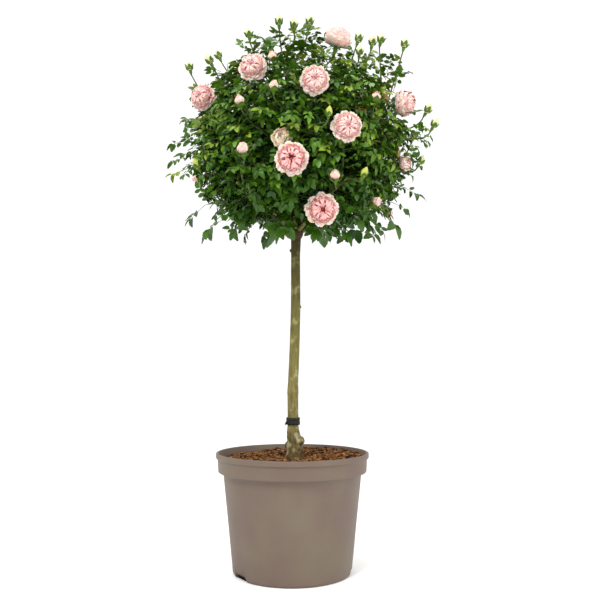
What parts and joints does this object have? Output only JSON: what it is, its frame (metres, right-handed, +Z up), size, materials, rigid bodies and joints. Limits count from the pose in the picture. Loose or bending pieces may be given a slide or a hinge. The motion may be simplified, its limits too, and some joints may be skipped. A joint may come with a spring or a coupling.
{
  "type": "standard rose in a pot",
  "caption": "Small tree rose: one bare stem rising from a round plastic pot to a rounded crown of leafy twigs, full blooms and buds.",
  "frame": {"origin": "centre of the pot's flat underside", "axes": "+Z up along the stem, -Y the front of the plant, +X its right side seen from the front"},
  "size_m": [0.4801, 0.4668, 0.9475],
  "materials": {
    "pot_plastic": "satin",
    "compost": "matte",
    "bark": "matte",
    "tie_tape": "satin",
    "green_wood": "matte",
    "foliage": "matte"
  },
  "bodies": {
    "root": {"pot": "pot_plastic", "soil": "compost", "stem": "bark", "stem_tie": "tie_tape", "bough_1": "green_wood", "bough_2": "green_wood", "bough_3": "green_wood", "bough_4": "green_wood", "bough_5": "green_wood", "bough_6": "green_wood", "bough_7": "green_wood", "bough_8": "green_wood", "bough_9": "green_wood", "bough_10": "green_wood", "bough_11": "green_wood", "bough_12": "green_wood", "bough_13": "green_wood", "foliage_1": "foliage", "foliage_2": "foliage", "foliage_3": "foliage", "foliage_4": "foliage", "foliage_5": "foliage", "foliage_6": "foliage", "foliage_7": "foliage", "foliage_8": "foliage", "foliage_9": "foliage", "foliage_10": "foliage", "foliage_11": "foliage", "foliage_12": "foliage", "foliage_13": "foliage"}
  },
  "joints": []
}
